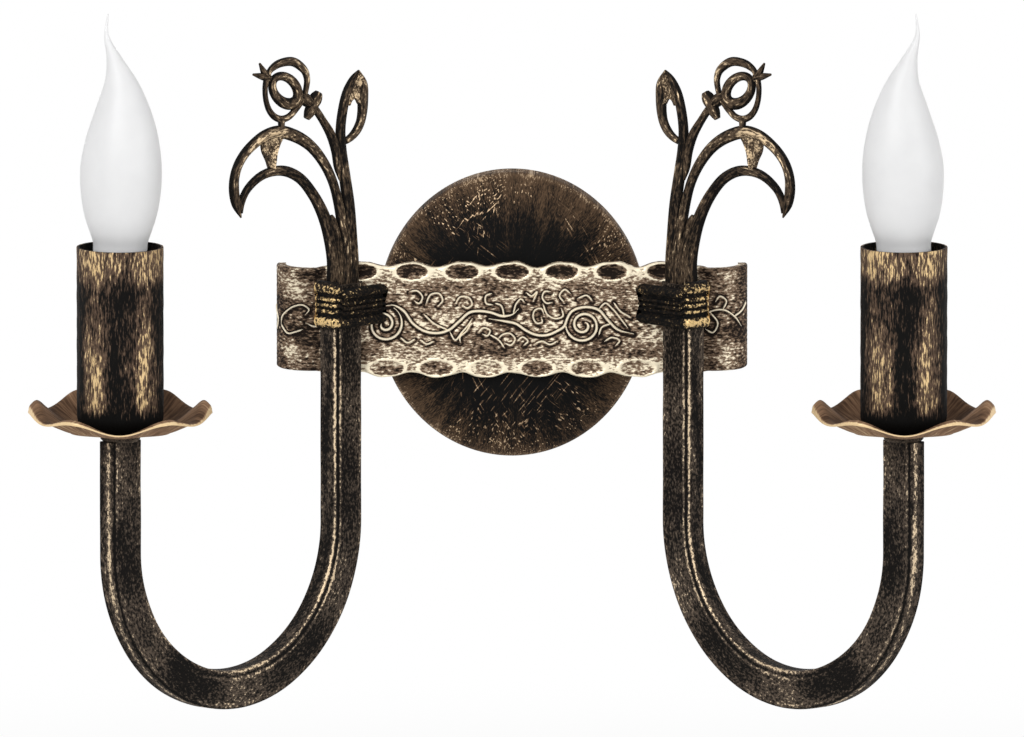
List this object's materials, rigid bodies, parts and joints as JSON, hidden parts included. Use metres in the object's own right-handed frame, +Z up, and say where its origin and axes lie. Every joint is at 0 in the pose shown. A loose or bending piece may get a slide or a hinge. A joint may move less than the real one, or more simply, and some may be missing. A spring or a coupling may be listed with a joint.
{
  "type": "double arm wall sconce",
  "caption": "Wall sconce with an oval canopy, a hammered strap, turned-out U-shaped arms with cast sprigs, and candle sleeves on fluted pans under flame bulbs.",
  "frame": {"origin": "on the wall, at the centre of the wall bracket's back face and of its screw slots", "axes": "X along the wall through both arms, -Y away from the wall into the room, +Z up"},
  "size_m": [0.4124, 0.1709, 0.3061],
  "materials": {
    "zinc_steel": "zinc plated, satin",
    "brass_parts": "satin brass",
    "white_plastic": "matt moulded",
    "black_rubber": "matt",
    "bronze_canopy": "near-black with fine gold scratches and a brown rim",
    "bronze_strap": "dark bronze rubbed back to cream gold on the high places",
    "bronze_arm": "dark bronze with gold worn through along the corners",
    "bronze_cast": "dark cast bronze finish with gold highlights",
    "bronze_small": "dark bronze",
    "bronze_pan": "brushed brown bronze with a gold lip",
    "bronze_sleeve": "dark bronze with gold streaks and a gold band at the top",
    "frosted_glass": "frosted white",
    "nickel_cap": "nickel plated"
  },
  "bodies": {
    "fixture": {"wall_bracket": "zinc_steel", "earth_screw": "brass_parts", "terminal_block": "white_plastic", "terminal_barrels": "brass_parts", "terminal_screws": "zinc_steel", "canopy": "bronze_canopy", "canopy_side_screws": "bronze_small", "lead_grommets": "black_rubber", "strap": "bronze_strap", "strap_studs": "zinc_steel", "strap_washers": "zinc_steel", "strap_nuts": "zinc_steel", "strap_bushes": "black_rubber", "arm_left": "bronze_arm", "arm_right": "bronze_arm", "arm_saddle_left": "bronze_small", "arm_saddle_right": "bronze_small", "arm_plug_left": "bronze_small", "arm_plug_right": "bronze_small", "collar_left": "bronze_cast", "collar_right": "bronze_cast", "sprig_left": "bronze_cast", "sprig_right": "bronze_cast", "pan_seat_left": "bronze_small", "pan_seat_right": "bronze_small", "lamp_nipple_left": "zinc_steel", "lamp_nipple_right": "zinc_steel", "drip_pan_left": "bronze_pan", "drip_pan_right": "bronze_pan", "candle_sleeve_left": "bronze_sleeve", "candle_sleeve_right": "bronze_sleeve", "pan_nut_left": "zinc_steel", "pan_nut_right": "zinc_steel", "lampholder_body_left": "white_plastic", "lampholder_body_right": "white_plastic", "lampholder_shell_left": "brass_parts", "lampholder_shell_right": "brass_parts", "lampholder_contact_left": "brass_parts", "lampholder_contact_right": "brass_parts"},
    "bulb_left": {"bulb_glass_left": "frosted_glass", "bulb_cap_left": "nickel_cap", "bulb_contact_left": "nickel_cap"},
    "bulb_right": {"bulb_glass_right": "frosted_glass", "bulb_cap_right": "nickel_cap", "bulb_contact_right": "nickel_cap"}
  },
  "joints": [
    {"name": "bulb_left_lift", "type": "slide", "parent": "fixture", "child": "bulb_left", "axis": [0, 0, 1], "range_m": [0, 0.04]},
    {"name": "bulb_right_lift", "type": "slide", "parent": "fixture", "child": "bulb_right", "axis": [0, 0, 1], "range_m": [0, 0.04]}
  ]
}
